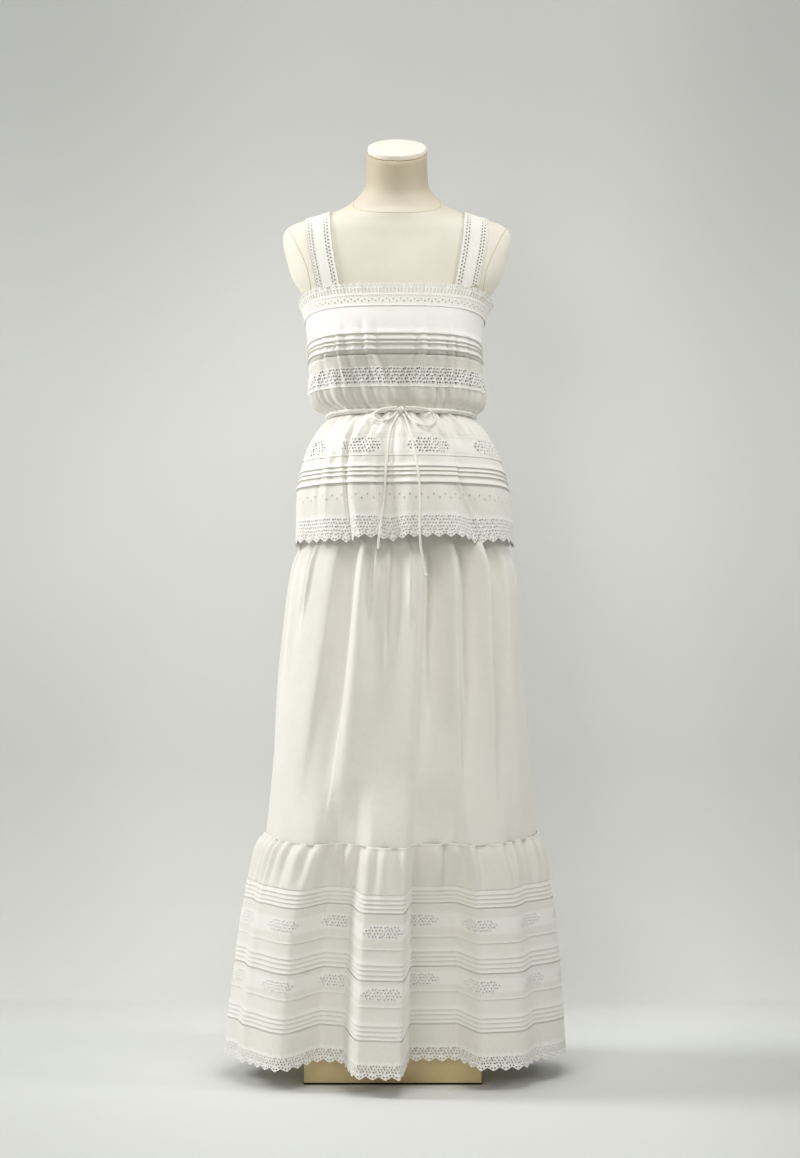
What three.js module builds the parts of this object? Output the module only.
// A white cotton maxi dress on a limbless dress form.
// Millimetres, +Z up, front towards -Y. The origin is on the floor, straight below the form's neck.
// The cloth is three sheets hung round the form: a bloused bodice, a peplum and a tiered skirt.
// Each sheet is a stack of rings, and each sewn piece is the wall between two lines of its sheet.
import * as THREE from "three";

const CLOTH = 1.8; // wall of the plain cotton
const LACE = 1.4; // wall of the eyelet lace
const SEAM_GAP = 0.6; // free space left at each seam
const SIDE_GAP = 0.2; // half the free space at a side seam
const TUCK_OUT = 2; // how far a pintuck stands out from the cloth
const TUCK_STEP = 0.7; // height of the step back in under a pintuck
const CLOSE_FOLDS = 9; // folds nearer than this, in degrees, need no column between them

const WHITE_COTTON = { color: 0xf4f3ee, roughness: 0.85, metalness: 0 };
const WHITE_LACE = { color: 0xf7f6f2, roughness: 0.8, metalness: 0 };
const IVORY_COVER = { color: 0xefe9d9, roughness: 0.7, metalness: 0 };
const IVORY_PAINT = { color: 0xd9cfb8, roughness: 0.55, metalness: 0 };
const BLACK_FELT = { color: 0x15120f, roughness: 0.9, metalness: 0 };
const STEEL = { color: 0xb8b8b4, roughness: 0.35, metalness: 1 };

// Rings of the dress form: half width, reach to the front and back, centre, forward lean and squareness.
const FORM_RINGS = [
  { z: 1560.5, half: 51, front: 51, back: 51, centre: -4, lean: 0.49, square: 2 },
  { z: 1522, half: 52, front: 52, back: 52, centre: 0, lean: 0.42, square: 2 },
  { z: 1502, half: 55, front: 54, back: 55, centre: 3, lean: 0.34, square: 2 },
  { z: 1486, half: 67, front: 57, back: 60, centre: 4, lean: 0.24, square: 2 },
  { z: 1471, half: 86, front: 60, back: 66, centre: 4, lean: 0.14, square: 1.85 },
  { z: 1460, half: 109, front: 62, back: 69, centre: 2, lean: 0.06, square: 1.7 },
  { z: 1450, half: 142, front: 63, back: 71, centre: 0, lean: 0, square: 1.65 },
  { z: 1440, half: 174, front: 64, back: 73, centre: 0, lean: 0, square: 1.8 },
  { z: 1430, half: 188, front: 66, back: 75, centre: 0, lean: 0, square: 2 },
  { z: 1412, half: 193, front: 69, back: 79, centre: 0, lean: 0, square: 2.2 },
  { z: 1380, half: 187, front: 76, back: 87, centre: 0, lean: 0, square: 2.4 },
  { z: 1345, half: 176, front: 83, back: 94, centre: 0, lean: 0, square: 2.4 },
  { z: 1318, half: 159, front: 88, back: 95, centre: 0, lean: 0, square: 2.4 },
  { z: 1298, half: 147, front: 95, back: 97, centre: 0, lean: 0, square: 2.4 },
  { z: 1270, half: 140, front: 106, back: 98, centre: 0, lean: 0, square: 2.4 },
  { z: 1228, half: 134, front: 117, back: 96, centre: 0, lean: 0, square: 2.3 },
  { z: 1180, half: 122, front: 100, back: 88, centre: 0, lean: 0, square: 2.2 },
  { z: 1118, half: 108, front: 88, back: 78, centre: 0, lean: 0, square: 2.1 },
  { z: 1050, half: 122, front: 90, back: 92, centre: 0, lean: 0, square: 2.1 },
  { z: 960, half: 145, front: 99, back: 112, centre: 0, lean: 0, square: 2.1 },
  { z: 880, half: 153, front: 102, back: 117, centre: 0, lean: 0, square: 2.1 },
  { z: 790, half: 148, front: 96, back: 108, centre: 0, lean: 0, square: 2.1 },
  { z: 740, half: 138, front: 88, back: 98, centre: 0, lean: 0, square: 2.1 },
];
const FORM_COLUMNS = 28;
const CAP = { radius: 49.6, thick: 9, gap: 0.5, bevel: 1.5 };

const BASE = { x: -7, width: 295, front: 90, back: 100, height: 80, edge: 3 };
const FOOT_THICK = 3;
const POLE_RADIUS = 16;
const REST_GAP = 0.3; // free space where one hard piece stands on another

// Rings of each sheet of cloth, from the outside. lift is how much higher the line runs at centre front.
const BODICE_RINGS = [
  { z: 1310, half: 164, front: 98, back: 104, centre: -1.5, lift: 27 },
  { z: 1281, half: 154.5, front: 110, back: 107, centre: -3, lift: 24 },
  { z: 1246, half: 147.5, front: 124, back: 107, centre: -4.5, lift: 19 },
  { z: 1222, half: 146.5, front: 128, back: 106, centre: -3.8, lift: 17 },
  { z: 1190, half: 146.5, front: 119, back: 104, centre: -2, lift: 14 },
  { z: 1162, half: 148.5, front: 113, back: 104, centre: -0.5, lift: 12 },
  { z: 1143, half: 147.5, front: 111, back: 103, centre: 0.5, lift: 10 },
  { z: 1126, half: 141, front: 107, back: 98, centre: 3.5, lift: 9 },
  { z: 1115, half: 126, front: 101, back: 90, centre: 6, lift: 8 },
  { z: 1106, half: 123, front: 100, back: 88.5, centre: 7, lift: 8 },
];
const PEPLUM_RINGS = [
  { z: 1106, half: 123, front: 100, back: 88.5, centre: 7, lift: 8 },
  { z: 1095, half: 133, front: 110, back: 98, centre: 7.3, lift: 8 },
  { z: 1071, half: 150, front: 128, back: 118, centre: 7.6, lift: 9 },
  { z: 1037, half: 166, front: 142, back: 132, centre: 8.8, lift: 10 },
  { z: 1004, half: 174, front: 149, back: 141, centre: 9.5, lift: 13 },
  { z: 970, half: 180, front: 153, back: 147, centre: 11, lift: 13 },
  { z: 930, half: 182, front: 155, back: 151, centre: 12.5, lift: 13 },
  { z: 888, half: 183.5, front: 156, back: 153, centre: 13.5, lift: 13 },
];
const SKIRT_RINGS = [
  { z: 1106, half: 120.2, front: 97, back: 85.6, centre: 7, lift: 8 },
  { z: 1080, half: 127, front: 100, back: 92, centre: 7, lift: 4 },
  { z: 1030, half: 146, front: 109, back: 106, centre: 8, lift: 0 },
  { z: 960, half: 163, front: 119, back: 124, centre: 11, lift: 0 },
  { z: 895, half: 173, front: 130, back: 133, centre: 13, lift: 0 },
  { z: 864, half: 184, front: 137, back: 140, centre: 14, lift: 0 },
  { z: 732, half: 199, front: 149, back: 152, centre: 10, lift: -1 },
  { z: 597, half: 212, front: 159, back: 161, centre: 8.5, lift: -3 },
  { z: 461, half: 224, front: 169, back: 169, centre: 8, lift: -5 },
  { z: 410, half: 229, front: 173, back: 172, centre: 7, lift: -6 },
];
const FLOUNCE_RINGS = [
  { z: 410, half: 229, front: 173, back: 172, centre: 7, lift: -6 },
  { z: 394, half: 238, front: 175, back: 177, centre: 5.5, lift: -5 },
  { z: 360, half: 249, front: 173, back: 182, centre: 5, lift: -2 },
  { z: 326, half: 256, front: 169, back: 186, centre: 3, lift: 0 },
  { z: 258, half: 268, front: 164, back: 190, centre: 1.5, lift: 0 },
  { z: 190, half: 275.5, front: 160, back: 194, centre: 0.5, lift: 0 },
  { z: 122, half: 282, front: 157, back: 197, centre: -1.7, lift: 0 },
  { z: 34, half: 288, front: 155, back: 200, centre: -3.4, lift: 0 },
];

// Folds, one row for each ridge or hollow going round: 0 is the side at +X, -90 the centre front and
// 90 the centre back.
const BODICE_FOLDS = [
  { top: -180, low: -180, out: 0 },
  { top: -150, low: -150, out: 1.5 },
  { top: -139, low: -141, out: -2 },
  { top: -127, low: -128, out: 4 },
  { top: -115, low: -112, out: -3 },
  { top: -103, low: -95, out: 4 },
  { top: -90, low: -90, out: -3 },
  { top: -78, low: -85, out: 4 },
  { top: -65, low: -70, out: -3 },
  { top: -52, low: -52, out: 3.5 },
  { top: -39, low: -38, out: -2.5 },
  { top: -24, low: -25, out: 2 },
  { top: 0, low: 0, out: 0 },
  { top: 28, low: 30, out: 2.5 },
  { top: 48, low: 50, out: -2.5 },
  { top: 68, low: 72, out: 3.5 },
  { top: 88, low: 88, out: -3 },
  { top: 110, low: 106, out: 3.5 },
  { top: 132, low: 130, out: -2.5 },
  { top: 154, low: 152, out: 2 },
  { top: 180, low: 180, out: 0 },
];
const PEPLUM_FOLDS = [
  { top: -180, low: -180, out: 0 },
  { top: -160, low: -160, out: 4 },
  { top: -148, low: -146, out: -3 },
  { top: -139, low: -134, out: -2 },
  { top: -134, low: -122, out: -8 },
  { top: -128, low: -115, out: 9 },
  { top: -118, low: -106, out: 6 },
  { top: -97, low: -97, out: -7 },
  { top: -90, low: -88, out: 9 },
  { top: -80, low: -66, out: 11 },
  { top: -68, low: -50, out: -8 },
  { top: -38, low: -30, out: 4 },
  { top: 0, low: 0, out: 0 },
  { top: 24, low: 26, out: 6 },
  { top: 44, low: 46, out: -6 },
  { top: 62, low: 66, out: 8 },
  { top: 80, low: 82, out: -7 },
  { top: 98, low: 100, out: 8 },
  { top: 118, low: 118, out: -6 },
  { top: 138, low: 136, out: 6 },
  { top: 158, low: 156, out: -4 },
  { top: 180, low: 180, out: 0 },
];
// ends is the height at which a fold of the skirt has died away.
const SKIRT_FOLDS = [
  { top: -180, low: -180, out: 0, ends: 420 },
  { top: -164, low: -165, out: -1.5, ends: 420 },
  { top: -146, low: -150, out: 5, ends: 420 },
  { top: -128, low: -134, out: -7, ends: 500 },
  { top: -112, low: -121, out: 7, ends: 400 },
  { top: -105, low: -112, out: -3, ends: 640 },
  { top: -99, low: -101, out: 4, ends: 700 },
  { top: -92, low: -92, out: -3, ends: 740 },
  { top: -87, low: -86, out: 5, ends: 720 },
  { top: -83, low: -80, out: -5, ends: 560 },
  { top: -76, low: -73, out: 4, ends: 640 },
  { top: -64, low: -64, out: -7, ends: 560 },
  { top: -55, low: -55, out: 5, ends: 520 },
  { top: -45, low: -45, out: -5, ends: 480 },
  { top: -28, low: -30, out: 5, ends: 440 },
  { top: 0, low: 0, out: 0, ends: 420 },
  { top: 17, low: 18, out: 3, ends: 460 },
  { top: 34, low: 34, out: -6, ends: 520 },
  { top: 48, low: 50, out: 6, ends: 600 },
  { top: 62, low: 63, out: -6, ends: 540 },
  { top: 75, low: 76, out: 6, ends: 640 },
  { top: 90, low: 90, out: -6, ends: 500 },
  { top: 104, low: 102, out: 6, ends: 620 },
  { top: 118, low: 116, out: -6, ends: 560 },
  { top: 132, low: 132, out: 7, ends: 460 },
  { top: 147, low: 148, out: -5, ends: 500 },
  { top: 163, low: 164, out: 3, ends: 440 },
  { top: 180, low: 180, out: 0, ends: 420 },
];
const FLOUNCE_FOLDS = [
  { top: -180, low: -180, out: 0 },
  { top: -162, low: -162, out: -8 },
  { top: -147, low: -147, out: 8 },
  { top: -127, low: -127, out: 30 },
  { top: -116, low: -116, out: -32 },
  { top: -108, low: -108, out: -28 },
  { top: -100, low: -100, out: 46 },
  { top: -89, low: -89, out: 50 },
  { top: -85.4, low: -85.4, out: -42 },
  { top: -69, low: -69, out: -40 },
  { top: -62, low: -62, out: 16 },
  { top: -48, low: -48, out: 20 },
  { top: -34, low: -34, out: -8 },
  { top: 0, low: 0, out: 0 },
  { top: 19, low: 19, out: 14 },
  { top: 35, low: 35, out: -20 },
  { top: 50, low: 50, out: 30 },
  { top: 62, low: 62, out: 26 },
  { top: 72, low: 72, out: -30 },
  { top: 86, low: 86, out: -26 },
  { top: 95, low: 95, out: 34 },
  { top: 108, low: 108, out: 30 },
  { top: 118, low: 118, out: -26 },
  { top: 132, low: 132, out: -20 },
  { top: 143, low: 143, out: 22 },
  { top: 160, low: 160, out: -8 },
  { top: 180, low: 180, out: 0 },
];

// How strong the folds and the gathers are down each sheet, from 0 to 1 or in millimetres.
const BODICE_FOLD_STRENGTH = [
  { z: 1196, value: 0 },
  { z: 1160, value: 0.7 },
  { z: 1136, value: 1 },
  { z: 1106, value: 0.3 },
];
const PEPLUM_FOLD_STRENGTH = [
  { z: 1106, value: 0 },
  { z: 1090, value: 0.25 },
  { z: 1045, value: 0.7 },
  { z: 980, value: 1 },
  { z: 888, value: 1.25 },
];
const FLOUNCE_FOLD_STRENGTH = [
  { z: 410, value: 0.3 },
  { z: 360, value: 0.5 },
  { z: 320, value: 0.66 },
  { z: 220, value: 0.86 },
  { z: 120, value: 0.95 },
  { z: 34, value: 1 },
];
const BODICE_GATHERS = {
  half: 20,
  depth: [
    { z: 1182, value: 0 },
    { z: 1140, value: 2.2 },
    { z: 1116, value: 1.6 },
    { z: 1106, value: 0.6 },
  ],
};
const PEPLUM_GATHERS = {
  half: 20,
  depth: [
    { z: 1106, value: 0.3 },
    { z: 1092, value: 2.4 },
    { z: 1070, value: 1.6 },
    { z: 1040, value: 0 },
  ],
};
const FLOUNCE_GATHERS = {
  half: 23,
  depth: [
    { z: 410, value: 2.2 },
    { z: 392, value: 4 },
    { z: 360, value: 2.6 },
    { z: 330, value: 0 },
  ],
};
const SKIRT_FOLD_TOP = 860; // the skirt's folds are deepest here, just below the peplum
const SKIRT_WAIST_SHARE = 0.12; // and this much as deep at the waist
const HEM_FOLDS_START = 640; // below this the skirt takes up the flounce's folds
const VALLEY_RISE = 0.15; // a hollow of the flounce hangs this much of its depth higher
const RIDGE_RISE = 0.35; // a ridge of the peplum is lifted this much of its reach

const SQUARE = { bodice: 2.45, peplum: 2.2, skirt: 2.15, flounce: 2.1 };

// Lines across the cloth, by their height at the side seam.
const NECK_EDGE = 1304;
const NECK_LACE_FOOT = 1281;
const BODICE_TUCKS = [1221.3, 1212.5, 1205, 1194.3];
const BODICE_LACE_TOP = 1180;
const BODICE_LACE_FOOT = 1147;
const CASING_TOP = 1115;
const CASING_FOOT = 1107;
const PEPLUM_LACE_TOP = 1068;
const PEPLUM_LACE_FOOT = 1032;
const PEPLUM_TUCKS = [1008, 1001, 991.5, 980.5];
const PEPLUM_HEM = 891;
const SKIRT_SEAM = 410;
const FLOUNCE_TUCKS_1 = [325, 318, 311, 302];
const FLOUNCE_LACE_1_FOOT = 246;
const FLOUNCE_TUCKS_2 = [220.7, 213, 205.3, 195];
const FLOUNCE_LACE_2_FOOT = 154;
const FLOUNCE_TUCKS_3 = [123, 115.5, 108, 98.5];
const FLOUNCE_TOP_FOOT = 332;
const FLOUNCE_HEM = 40;
const SCALLOPS = { neck: 18, peplum: 24, flounce: 36, neckDepth: 3, hemDepth: 6 };

// Straps: where the middle of each one runs, and how it lies on the form.
const STRAP = { width: 40, thick: 1.5, clear: 3, hubZ: 1360, from: -27, to: 207, stations: 21 };
const STRAP_FRONT_X = 115;
const STRAP_TOP_X = 134;
const STRAP_BACK_X = 108;

// The drawstring: a narrow sewn tie round the waist, knotted into a bow at the front.
const TIE = { radius: 2, sides: 5, columns: 40, out: 3.3 };
const CORD_SIDES = 8;
// Points of the bow: across, height, and how far the middle of the cord stands off the cloth behind it.
const KNOT = { x: 7, z: 1119, off: 5, radius: 4.6 };
const LEFT_END = [
  { x: 3, z: 1113, off: 5.5 }, { x: -1, z: 1106, off: 5 }, { x: -6, z: 1097, off: 4 },
  { x: -10, z: 1087, off: 4 }, { x: -13, z: 1073, off: 4 }, { x: -15, z: 1057, off: 4 },
  { x: -17, z: 1036, off: 4.8 }, { x: -18.5, z: 1011, off: 5 }, { x: -20, z: 986, off: 4.6 },
  { x: -22.5, z: 961, off: 4 }, { x: -26, z: 936, off: 3.8 }, { x: -28.5, z: 914, off: 4 },
];
const LEFT_END_HANGS = [{ x: -30, z: 900, back: -1 }, { x: -30.5, z: 888, back: -1 }];
const RIGHT_END = [
  { x: 10, z: 1112, off: 5.5 }, { x: 13, z: 1106, off: 5 }, { x: 17, z: 1097, off: 4 },
  { x: 20, z: 1087, off: 4.2 }, { x: 24, z: 1072, off: 5 }, { x: 28, z: 1052, off: 4.2 },
  { x: 33, z: 1026, off: 4.6 }, { x: 36.5, z: 1001, off: 4.6 }, { x: 38, z: 976, off: 4.2 },
  { x: 38, z: 951, off: 3.6 }, { x: 37.5, z: 930, off: 3.8 }, { x: 37.5, z: 914, off: 4 },
];
const RIGHT_END_HANGS = [
  { x: 38.5, z: 896, back: 0 }, { x: 41.5, z: 876, back: 1 }, { x: 46.5, z: 849, back: 2 },
];
const RIGHT_LOOP = [
  { x: 13, z: 1116.5, off: 6 }, { x: 18, z: 1109, off: 7.5 }, { x: 25, z: 1101, off: 9 },
  { x: 34, z: 1094.5, off: 10 }, { x: 44, z: 1091, off: 10 }, { x: 54, z: 1092, off: 9 },
  { x: 61, z: 1097, off: 8 }, { x: 63.5, z: 1105, off: 7 }, { x: 60, z: 1112, off: 7 },
  { x: 52, z: 1118, off: 8.5 }, { x: 41, z: 1121, off: 9 }, { x: 28, z: 1122, off: 9 },
  { x: 14, z: 1122.5, off: 9 },
];
const LEFT_LOOP = [
  { x: 1, z: 1117, off: 6 }, { x: -4, z: 1110.5, off: 6.5 }, { x: -11, z: 1105, off: 7.5 },
  { x: -19, z: 1101, off: 8 }, { x: -28, z: 1100, off: 8 }, { x: -35, z: 1102.5, off: 7.5 },
  { x: -38.5, z: 1107.5, off: 7 }, { x: -36.5, z: 1113.5, off: 7.5 }, { x: -30, z: 1117.5, off: 8.5 },
  { x: -21, z: 1120, off: 9 }, { x: -10, z: 1121.5, off: 9 }, { x: 0, z: 1122.5, off: 9.8 },
];
const END_KNOT = { x: 47.5, z: 845.3, radius: 3.4 };

const radians = THREE.MathUtils.degToRad;
const smooth = (share) => share * share * (3 - 2 * share);
const clamp01 = (value) => Math.min(1, Math.max(0, value));

// The value of one column of a table at height z: a smooth curve through the rows, which run downwards.
function along(rows, column, z) {
  const last = rows.length - 1;
  if (z >= rows[0].z) return rows[0][column];
  if (z <= rows[last].z) return rows[last][column];
  let i = 0;
  while (rows[i + 1].z > z) i += 1;
  const slope = (a, b) => (rows[b][column] - rows[a][column]) / (rows[b].z - rows[a].z);
  const span = rows[i + 1].z - rows[i].z;
  const middle = slope(i, i + 1);
  const start = i > 0 ? (slope(i - 1, i) + middle) / 2 : middle;
  const end = i + 1 < last ? (middle + slope(i + 1, i + 2)) / 2 : middle;
  const s = (z - rows[i].z) / span;
  const s2 = s * s;
  const s3 = s2 * s;
  return (
    (2 * s3 - 3 * s2 + 1) * rows[i][column] +
    (s3 - 2 * s2 + s) * span * start +
    (3 * s2 - 2 * s3) * rows[i + 1][column] +
    (s3 - s2) * span * end
  );
}

// A superellipse: the point of a ring at angle t in degrees.
function onRing(half, front, back, square, t) {
  const c = Math.cos(radians(t));
  const s = Math.sin(radians(t));
  const reach = s < 0 ? front : back;
  const power = 2 / square;
  return [half * Math.sign(c) * Math.abs(c) ** power, reach * Math.sign(s) * Math.abs(s) ** power];
}

// How far the folds stand out at angle t. drift is 0 at the folds' top and 1 at their foot.
function foldOut(folds, t, drift, outOf) {
  const at = (row) => row.top + (row.low - row.top) * drift;
  let i = 0;
  while (i < folds.length - 2 && at(folds[i + 1]) < t) i += 1;
  const share = clamp01((t - at(folds[i])) / (at(folds[i + 1]) - at(folds[i])));
  return outOf(folds[i]) + (outOf(folds[i + 1]) - outOf(folds[i])) * smooth(share);
}

// A wave of ridges and hollows, one pair for each gather, a little uneven.
function gatherOut(gathers, t, z) {
  const wave = Math.cos(radians(t * 2 * gathers.half));
  const uneven = 0.8 + 0.2 * Math.cos(radians(t * 5 + 40));
  return along(gathers.depth, "value", z) * wave * uneven;
}

// How high above the side seam a line runs at angle t, as a share of its lift at centre front.
function frontShare(t) {
  const s = Math.max(0, -Math.sin(radians(t)));
  return 1 - (1 - s) ** 1.6;
}

const wrapped = (t) => (t > 180 ? t - 360 : t < -180 ? t + 360 : t);

// Each sheet gives, for an angle and a height at the side seam, how far its folds stand out and rise.
const bodice = {
  rings: BODICE_RINGS,
  square: SQUARE.bodice,
  out: (t, z) =>
    foldOut(BODICE_FOLDS, t, clamp01((1196 - z) / 90), (row) => row.out) *
      along(BODICE_FOLD_STRENGTH, "value", z) +
    gatherOut(BODICE_GATHERS, t, z),
  rise: () => 0,
};
const peplumFold = (t, z) =>
  foldOut(PEPLUM_FOLDS, t, clamp01((1106 - z) / 215), (row) => row.out) *
  along(PEPLUM_FOLD_STRENGTH, "value", z);
const peplum = {
  rings: PEPLUM_RINGS,
  square: SQUARE.peplum,
  out: (t, z) => peplumFold(t, z) + gatherOut(PEPLUM_GATHERS, t, z),
  rise: (t, z) => RIDGE_RISE * peplumFold(t, z) * smooth(clamp01((970 - z) / 80)),
};
const flounceFold = (t, z) =>
  foldOut(FLOUNCE_FOLDS, t, 0, (row) => row.out) * along(FLOUNCE_FOLD_STRENGTH, "value", z);
const flounce = {
  rings: FLOUNCE_RINGS,
  square: SQUARE.flounce,
  out: (t, z) => flounceFold(t, z) + gatherOut(FLOUNCE_GATHERS, t, z),
  rise: (t, z) => -VALLEY_RISE * flounceFold(t, z),
};
function skirtFold(t, z) {
  const drift = smooth(clamp01((660 - z) / 250));
  const outOf = (row) => row.out * smooth(clamp01((z - row.ends) / (SKIRT_FOLD_TOP - row.ends)));
  const above = clamp01((z - SKIRT_FOLD_TOP) / (1106 - SKIRT_FOLD_TOP));
  const strength = 1 - (1 - SKIRT_WAIST_SHARE) * above;
  return foldOut(SKIRT_FOLDS, t, drift, outOf) * strength;
}
const hemShare = (z) => smooth(clamp01((HEM_FOLDS_START - z) / (HEM_FOLDS_START - SKIRT_SEAM)));
const skirt = {
  rings: SKIRT_RINGS,
  square: SQUARE.skirt,
  out: (t, z) => skirtFold(t, z) + hemShare(z) * flounceFold(t, SKIRT_SEAM),
  rise: (t, z) => -VALLEY_RISE * hemShare(z) * flounceFold(t, SKIRT_SEAM),
};

// The outside of a sheet at angle t and side height z, before any tuck.
function sheetPoint(sheet, t, z) {
  const angle = wrapped(t);
  const value = (column) => along(sheet.rings, column, z);
  const ring = (a) => onRing(value("half"), value("front"), value("back"), sheet.square, a);
  const [x, y] = ring(angle);
  const [xa, ya] = ring(angle - 0.5);
  const [xb, yb] = ring(angle + 0.5);
  const length = Math.hypot(xb - xa, yb - ya);
  const out = sheet.out(angle, z);
  return new THREE.Vector3(
    x + value("centre") + (out * (yb - ya)) / length,
    y - (out * (xb - xa)) / length,
    z + value("lift") * frontShare(angle) + sheet.rise(angle, z),
  );
}

// A line of points moved level, square to its own run, by distance. The two end points only give the
// direction.
function movedOut(points, distance) {
  const moved = [];
  for (let i = 1; i < points.length - 1; i += 1) {
    const [last, here, next] = [points[i - 1], points[i], points[i + 1]];
    const before = new THREE.Vector2(here.y - last.y, last.x - here.x).normalize();
    const after = new THREE.Vector2(next.y - here.y, here.x - next.x).normalize();
    const sum = before.clone().add(after);
    const mitre = Math.min(2 / sum.lengthSq(), 1.6);
    moved.push(new THREE.Vector3(
      points[i].x + sum.x * mitre * distance,
      points[i].y + sum.y * mitre * distance,
      points[i].z,
    ));
  }
  return moved;
}

// A closed solid from loops of points, one loop for each column: each loop runs down the outside and up
// the inside. outer is how many points of a loop lie on the outside. A ring has no ends; any other solid
// is capped at both.
function loopSolid(loops, outer, isRing) {
  const size = loops[0].length;
  const positions = [];
  loops.forEach((loop) => loop.forEach((p) => positions.push(p.x, p.y, p.z)));
  const index = [];
  const spans = isRing ? loops.length : loops.length - 1;
  for (let i = 0; i < spans; i += 1) {
    const a = i * size;
    const b = ((i + 1) % loops.length) * size;
    for (let k = 0; k < size; k += 1) {
      const next = (k + 1) % size;
      // The inside is split along the same diagonal as the outside, so the wall keeps its thickness.
      if (k < outer - 1) index.push(a + next, b + next, a + k, b + next, b + k, a + k);
      else index.push(a + next, b + next, b + k, a + next, b + k, a + k);
    }
  }
  const cap = (start, loop, turned) => {
    let i = 0;
    let j = size - 1;
    while (i < outer - 1 || j > outer) {
      const outerNext = i < outer - 1 && (j === outer || loop[i + 1].z >= loop[j - 1].z);
      const corners = outerNext ? [i, i + 1, j] : [i, j - 1, j];
      if (turned) corners.reverse();
      index.push(...corners.map((corner) => start + corner));
      if (outerNext) i += 1;
      else j -= 1;
    }
  };
  if (!isRing) {
    cap(0, loops[0], true);
    cap((loops.length - 1) * size, loops[loops.length - 1], false);
  }
  const geometry = new THREE.BufferGeometry();
  geometry.setAttribute("position", new THREE.Float32BufferAttribute(positions, 3));
  geometry.setIndex(index);
  geometry.computeVertexNormals();
  return geometry;
}

// One sewn piece: the wall of a sheet between its first and last rows, over the given angles.
// A row is { z, out }, where z may depend on the column. A plain inside needs only the rows that are marked.
function clothWall(sheet, rows, angles, thick) {
  const first = angles[0] - (angles[1] - angles[0]);
  const end = angles.length - 1;
  const last = angles[end] + (angles[end] - angles[end - 1]);
  const wide = [first, ...angles, last];
  const line = (row, distance) => {
    const points = wide.map((t, i) =>
      sheetPoint(sheet, t, typeof row.z === "function" ? row.z(i - 1) : row.z));
    return movedOut(points, distance);
  };
  const outside = rows.map((row) => line(row, row.out || 0));
  const inside = rows.filter((row) => !row.outsideOnly).map((row) => line(row, -thick));
  inside.reverse();
  const loops = angles.map((_, i) => [...outside, ...inside].map((points) => points[i]));
  return loopSolid(loops, outside.length, false);
}

// Angles of the front or back half, in even steps, a hair inside the side seams.
function evenAngles(side, steps, reach) {
  const inset = THREE.MathUtils.radToDeg(SIDE_GAP / reach);
  const from = (side === "front" ? -180 : 0) + inset;
  return Array.from({ length: steps + 1 }, (_, i) => from + (i * (180 - 2 * inset)) / steps);
}

// Angles of one half with a column at each fold, and one half way between folds that are far apart.
function foldAngles(side, folds, drift, reach) {
  const inset = THREE.MathUtils.radToDeg(SIDE_GAP / reach);
  const inHalf = folds
    .map((row) => row.top + (row.low - row.top) * drift)
    .filter((angle) => (side === "front" ? angle <= 0 : angle >= 0));
  inHalf[0] += inset;
  inHalf[inHalf.length - 1] -= inset;
  return inHalf.flatMap((angle, i) =>
    i && angle - inHalf[i - 1] > CLOSE_FOLDS ? [(angle + inHalf[i - 1]) / 2, angle] : [angle]);
}

// Rows of a pintucked stretch from start down to the last tuck's edge.
function tuckRows(start, tucks) {
  const rows = [{ z: start }];
  tucks.forEach((z, i) => {
    const isLast = i === tucks.length - 1;
    rows.push({ z, out: TUCK_OUT, outsideOnly: !isLast });
    if (!isLast) rows.push({ z: z - TUCK_STEP, outsideOnly: true });
  });
  return rows;
}

const dress = new THREE.Group();

function addPiece(name, geometry, finish) {
  const mesh = new THREE.Mesh(geometry, new THREE.MeshStandardMaterial(finish));
  mesh.name = name;
  dress.add(mesh);
  return mesh;
}

const SIDES = ["front", "back"];

function addPanels(name, sheet, rows, anglesOf, thick, finish) {
  SIDES.forEach((side) =>
    addPiece(`${name}_${side}`, clothWall(sheet, rows, anglesOf(side), thick), finish));
}

const scallop = (edge, depth) => (column) => edge + (column % 2 ? 0 : depth);

function addBodice() {
  addPanels("neck_lace", bodice, [
    { z: scallop(NECK_EDGE - SCALLOPS.neckDepth, SCALLOPS.neckDepth), out: 0.8 },
    { z: NECK_LACE_FOOT + SEAM_GAP },
  ], (side) => evenAngles(side, 2 * SCALLOPS.neck, 100), LACE, WHITE_LACE);
  addPanels("bodice_upper", bodice, [
    { z: NECK_LACE_FOOT },
    { z: 1250 },
    ...tuckRows(1230, BODICE_TUCKS),
  ], (side) => evenAngles(side, 20, 106), CLOTH, WHITE_COTTON);
  addPanels("bodice_lace", bodice, [
    { z: BODICE_TUCKS[3] - SEAM_GAP },
    { z: BODICE_LACE_TOP },
    { z: BODICE_LACE_FOOT + SEAM_GAP },
  ], (side) => foldAngles(side, BODICE_FOLDS, 0.4, 104), LACE, WHITE_LACE);
  addPanels("bodice_lower", bodice, [
    { z: BODICE_LACE_FOOT },
    { z: 1130 },
    { z: CASING_TOP + SEAM_GAP },
  ], (side) => evenAngles(side, 2 * BODICE_GATHERS.half, 100), CLOTH, WHITE_COTTON);
  addPanels("waist_casing", bodice, [
    { z: CASING_TOP },
    { z: CASING_FOOT },
  ], (side) => evenAngles(side, 20, 90), CLOTH, WHITE_COTTON);
}

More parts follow.
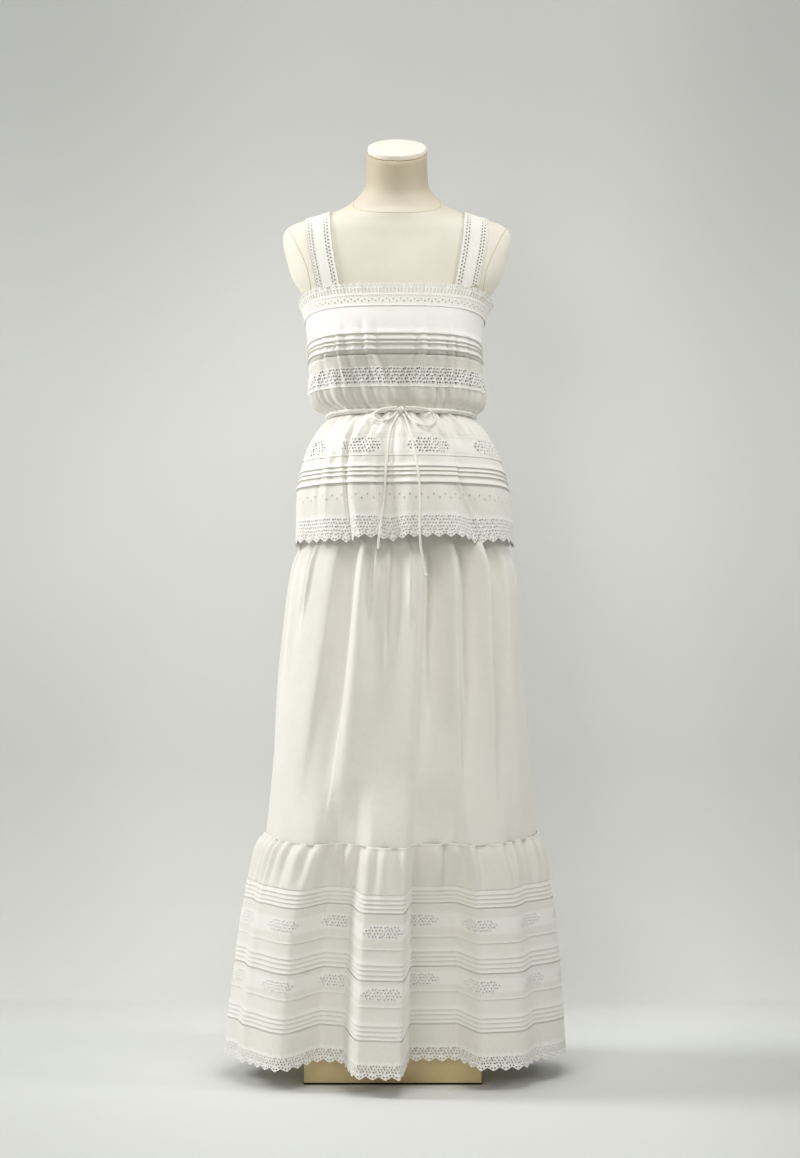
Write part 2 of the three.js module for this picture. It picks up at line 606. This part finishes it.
function addPeplum() {
  addPanels("peplum_upper", peplum, [
    { z: CASING_FOOT - SEAM_GAP },
    { z: 1090 },
    { z: PEPLUM_LACE_TOP + SEAM_GAP },
  ], (side) => evenAngles(side, 2 * PEPLUM_GATHERS.half, 95), CLOTH, WHITE_COTTON);
  addPanels("peplum_lace", peplum, [
    { z: PEPLUM_LACE_TOP },
    { z: PEPLUM_LACE_FOOT + SEAM_GAP },
  ], (side) => foldAngles(side, PEPLUM_FOLDS, 0.45, 130), LACE, WHITE_LACE);
  addPanels("peplum_tucks", peplum, tuckRows(PEPLUM_LACE_FOOT, PEPLUM_TUCKS),
    (side) => foldAngles(side, PEPLUM_FOLDS, 0.45, 130), CLOTH, WHITE_COTTON);
  addPanels("peplum_border", peplum, [
    { z: PEPLUM_TUCKS[3] - SEAM_GAP },
    { z: scallop(PEPLUM_HEM, SCALLOPS.hemDepth) },
  ], (side) => evenAngles(side, 2 * SCALLOPS.peplum, 155), LACE, WHITE_LACE);
}

function addSkirt() {
  addPanels("skirt", skirt, [
    { z: CASING_FOOT - SEAM_GAP },
    { z: 1040 },
    { z: 890 },
    { z: 740 },
    { z: 560 },
    { z: SKIRT_SEAM + SEAM_GAP },
  ], (side) => foldAngles(side, SKIRT_FOLDS, 0, 150), CLOTH, WHITE_COTTON);
}

function addFlounce() {
  const folded = (side) => foldAngles(side, FLOUNCE_FOLDS, 0, 200);
  addPanels("flounce_top", flounce, [
    { z: SKIRT_SEAM },
    { z: 390 },
    { z: FLOUNCE_TOP_FOOT + SEAM_GAP },
  ], (side) => evenAngles(side, 2 * FLOUNCE_GATHERS.half, 190), CLOTH, WHITE_COTTON);
  addPanels("flounce_tucks_1", flounce, tuckRows(FLOUNCE_TOP_FOOT, FLOUNCE_TUCKS_1),
    folded, CLOTH, WHITE_COTTON);
  addPanels("flounce_lace_1", flounce, [
    { z: FLOUNCE_TUCKS_1[3] - SEAM_GAP },
    { z: FLOUNCE_LACE_1_FOOT + SEAM_GAP },
  ], folded, LACE, WHITE_LACE);
  addPanels("flounce_tucks_2", flounce, tuckRows(FLOUNCE_LACE_1_FOOT, FLOUNCE_TUCKS_2),
    folded, CLOTH, WHITE_COTTON);
  addPanels("flounce_lace_2", flounce, [
    { z: FLOUNCE_TUCKS_2[3] - SEAM_GAP },
    { z: FLOUNCE_LACE_2_FOOT + SEAM_GAP },
  ], folded, LACE, WHITE_LACE);
  addPanels("flounce_tucks_3", flounce, tuckRows(FLOUNCE_LACE_2_FOOT, FLOUNCE_TUCKS_3),
    folded, CLOTH, WHITE_COTTON);
  addPanels("flounce_border", flounce, [
    { z: FLOUNCE_TUCKS_3[3] - SEAM_GAP },
    { z: scallop(FLOUNCE_HEM - SCALLOPS.hemDepth / 2, SCALLOPS.hemDepth) },
  ], (side) => evenAngles(side, 2 * SCALLOPS.flounce, 200), LACE, WHITE_LACE);
}

// The form's skin at a given angle of one of its rings.
function formPoint(row, t) {
  const [x, y] = onRing(row.half, row.front, row.back, row.square, t);
  return new THREE.Vector3(x, y + row.centre, row.z + row.lean * y);
}

function addForm() {
  const positions = [];
  const index = [];
  const columns = FORM_COLUMNS;
  FORM_RINGS.forEach((row) => {
    for (let i = 0; i < columns; i += 1) {
      positions.push(...formPoint(row, (360 * i) / columns - 180).toArray());
    }
  });
  for (let j = 0; j < FORM_RINGS.length - 1; j += 1) {
    for (let i = 0; i < columns; i += 1) {
      const next = (i + 1) % columns;
      const upper = j * columns;
      const lower = upper + columns;
      index.push(lower + i, lower + next, upper + i, lower + next, upper + next, upper + i);
    }
  }
  const addLid = (ring, facesUp) => {
    const row = FORM_RINGS[ring];
    const centre = positions.length / 3;
    positions.push(0, row.centre, row.z);
    for (let i = 0; i < columns; i += 1) {
      const a = ring * columns + i;
      const b = ring * columns + ((i + 1) % columns);
      index.push(...(facesUp ? [a, b, centre] : [b, a, centre]));
    }
  };
  addLid(0, true);
  addLid(FORM_RINGS.length - 1, false);
  const geometry = new THREE.BufferGeometry();
  geometry.setAttribute("position", new THREE.Float32BufferAttribute(positions, 3));
  geometry.setIndex(index);
  geometry.computeVertexNormals();
  return addPiece("form_body", geometry, IVORY_COVER);
}

function addNeckCap() {
  const neck = FORM_RINGS[0];
  const inner = CAP.radius - CAP.bevel;
  const profile = [
    [0, 0], [inner, 0], [CAP.radius, CAP.bevel],
    [CAP.radius, CAP.thick - CAP.bevel], [inner, CAP.thick], [0, CAP.thick],
  ].map(([x, y]) => new THREE.Vector2(x, y));
  const cap = addPiece("form_neck_cap", new THREE.LatheGeometry(profile, 28), IVORY_COVER);
  const lean = Math.atan(neck.lean);
  cap.rotation.x = Math.PI / 2 + lean;
  cap.position.set(
    0,
    neck.centre - CAP.gap * Math.sin(lean),
    neck.z + CAP.gap * Math.cos(lean),
  );
}

function addStand() {
  const depth = BASE.front + BASE.back;
  const middle = (BASE.back - BASE.front) / 2;
  const foot = addPiece("base_foot", new THREE.BoxGeometry(BASE.width, depth, FOOT_THICK), BLACK_FELT);
  foot.position.set(BASE.x, middle, FOOT_THICK / 2);
  const block = addPiece("base_block", new THREE.BoxGeometry(BASE.width, depth, BASE.height), IVORY_PAINT);
  block.position.set(BASE.x, middle, FOOT_THICK + BASE.height / 2);
  const bottom = FOOT_THICK + BASE.height + REST_GAP;
  const top = FORM_RINGS[FORM_RINGS.length - 1].z - REST_GAP;
  const pole = addPiece("form_pole",
    new THREE.CylinderGeometry(POLE_RADIUS, POLE_RADIUS, top - bottom, 16), STEEL);
  pole.rotation.x = Math.PI / 2;
  pole.position.set(0, 0, (top + bottom) / 2);
}

// A strap lies on the form: its points are the form's own skin, found by rays from a hub inside, and
// moved out.
function addStrap(name, side, form) {
  form.updateMatrixWorld(true);
  form.material.side = THREE.DoubleSide;
  const caster = new THREE.Raycaster();
  const loops = [];
  for (let i = 0; i < STRAP.stations; i += 1) {
    const share = i / (STRAP.stations - 1);
    const angle = radians(STRAP.from + (STRAP.to - STRAP.from) * share);
    const bottomX = share < 0.5 ? STRAP_FRONT_X : STRAP_BACK_X;
    const middle = bottomX + (STRAP_TOP_X - bottomX) * Math.sin(Math.PI * share);
    const direction = new THREE.Vector3(0, -Math.cos(angle), Math.sin(angle));
    const skin = (x, out) => {
      caster.set(new THREE.Vector3(x, 0, STRAP.hubZ), direction);
      const hit = caster.intersectObject(form)[0].point;
      return hit.addScaledVector(direction, out);
    };
    const across = [3, 1, -1, -3].map((k) => side * middle + (k * STRAP.width) / 6);
    const over = across.map((x) => skin(x, STRAP.clear + STRAP.thick));
    const under = across.map((x) => skin(x, STRAP.clear)).reverse();
    loops.push([...over, ...under]);
  }
  addPiece(name, loopSolid(loops.reverse(), 4, false), WHITE_LACE);
}

// The foremost point of the given pieces at x and z, moved forward.
function inFrontOf(meshes, x, z, off) {
  const caster = new THREE.Raycaster(new THREE.Vector3(x, -400, z), new THREE.Vector3(0, 1, 0));
  const hit = caster.intersectObjects(meshes)[0].point;
  return new THREE.Vector3(x, hit.y - off, z);
}

// A cord's points on the cloth, and those below the hem, which hang straight down from the last of them.
function hangingEnd(onCloth, below) {
  const lowest = onCloth[onCloth.length - 1];
  return [...onCloth, ...below.map((row) => new THREE.Vector3(row.x, lowest.y + row.back, row.z))];
}

// A round cord along points.
function addCord(name, points) {
  const path = new THREE.CatmullRomCurve3(points);
  const outline = new THREE.Shape(Array.from({ length: CORD_SIDES }, (_, i) => {
    const angle = (2 * Math.PI * i) / CORD_SIDES;
    return new THREE.Vector2(TIE.radius * Math.cos(angle), TIE.radius * Math.sin(angle));
  }));
  const steps = Math.round(path.getLength() / (6.2 * TIE.radius));
  const geometry = new THREE.ExtrudeGeometry(outline, { steps, extrudePath: path, curveSegments: 1 });
  addPiece(name, geometry, WHITE_COTTON);
}

function addBall(name, centre, radius) {
  const ball = addPiece(name, new THREE.SphereGeometry(radius, 8, 6), WHITE_COTTON);
  ball.position.copy(centre);
}

function addDrawstring() {
  const half = (CASING_TOP + CASING_FOOT) / 2;
  const ring = Array.from({ length: TIE.columns + 2 }, (_, i) =>
    sheetPoint(bodice, -180 + (360 * (i - 1)) / TIE.columns, half));
  const outs = movedOut(ring, TIE.out);
  const wides = movedOut(ring, TIE.out + 1);
  const loops = outs.map((middle, i) => {
    const outward = wides[i].clone().sub(middle);
    return Array.from({ length: TIE.sides }, (_, k) => {
      const turn = (2 * Math.PI * k) / TIE.sides;
      return middle.clone()
        .addScaledVector(outward, TIE.radius * Math.sin(turn))
        .add(new THREE.Vector3(0, 0, TIE.radius * Math.cos(turn)));
    });
  });
  addPiece("drawstring", loopSolid(loops, 3, true), WHITE_COTTON);
  const behind = dress.children.filter((mesh) => /_front$|^drawstring$/.test(mesh.name));
  const place = (row) => inFrontOf(behind, row.x, row.z, row.off);
  addBall("bow_knot", place(KNOT), KNOT.radius);
  addCord("bow_end_left", hangingEnd(LEFT_END.map(place), LEFT_END_HANGS));
  const right = hangingEnd(RIGHT_END.map(place), RIGHT_END_HANGS);
  addCord("bow_end_right", right);
  addCord("bow_loop_left", LEFT_LOOP.map(place));
  addCord("bow_loop_right", RIGHT_LOOP.map(place));
  const tip = right[right.length - 1];
  addBall("bow_end_knot", new THREE.Vector3(END_KNOT.x, tip.y, END_KNOT.z), END_KNOT.radius);
}

const form = addForm();
addNeckCap();
addStand();
addBodice();
addStrap("strap_left", 1, form);
addStrap("strap_right", -1, form);
addPeplum();
addSkirt();
addFlounce();
addDrawstring();

export default dress;
